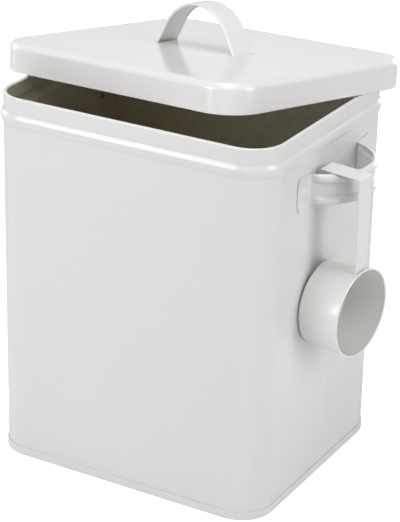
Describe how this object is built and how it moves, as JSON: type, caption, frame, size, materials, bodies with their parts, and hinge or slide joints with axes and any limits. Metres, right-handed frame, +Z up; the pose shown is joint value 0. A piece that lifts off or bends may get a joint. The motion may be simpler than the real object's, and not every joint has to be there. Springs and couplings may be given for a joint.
{
  "type": "pet food bin",
  "caption": "Upright sheet-metal pet food bin with rounded corners, a lift-off lid with a strap handle lying askew, side strap handles, and a hanging scoop.",
  "frame": {"origin": "middle of the bin's footprint, on the surface it stands on", "axes": "+Z up, +X towards the handle with the scoop, -Y towards the front"},
  "size_m": [0.316, 0.2617, 0.3604],
  "materials": {
    "body_paint": "satin",
    "handle_paint": "satin",
    "lid_paint": "satin",
    "scoop_paint": "satin"
  },
  "bodies": {
    "bin": {"bin_wall": "body_paint", "base_pan": "body_paint", "handle_right": "handle_paint", "handle_left": "handle_paint", "rivets_right": "handle_paint", "rivets_left": "handle_paint"},
    "lid": {"lid_pan": "lid_paint", "lid_handle": "lid_paint"},
    "scoop": {"scoop_cup": "scoop_paint", "scoop_hook": "scoop_paint"}
  },
  "joints": [
    {"name": "lid_lift", "type": "slide", "parent": "bin", "child": "lid", "axis": [0, 0, 1], "range_m": [0, 0.12]},
    {"name": "scoop_lift", "type": "slide", "parent": "bin", "child": "scoop", "axis": [0, 0, 1], "range_m": [0, 0.04]}
  ]
}
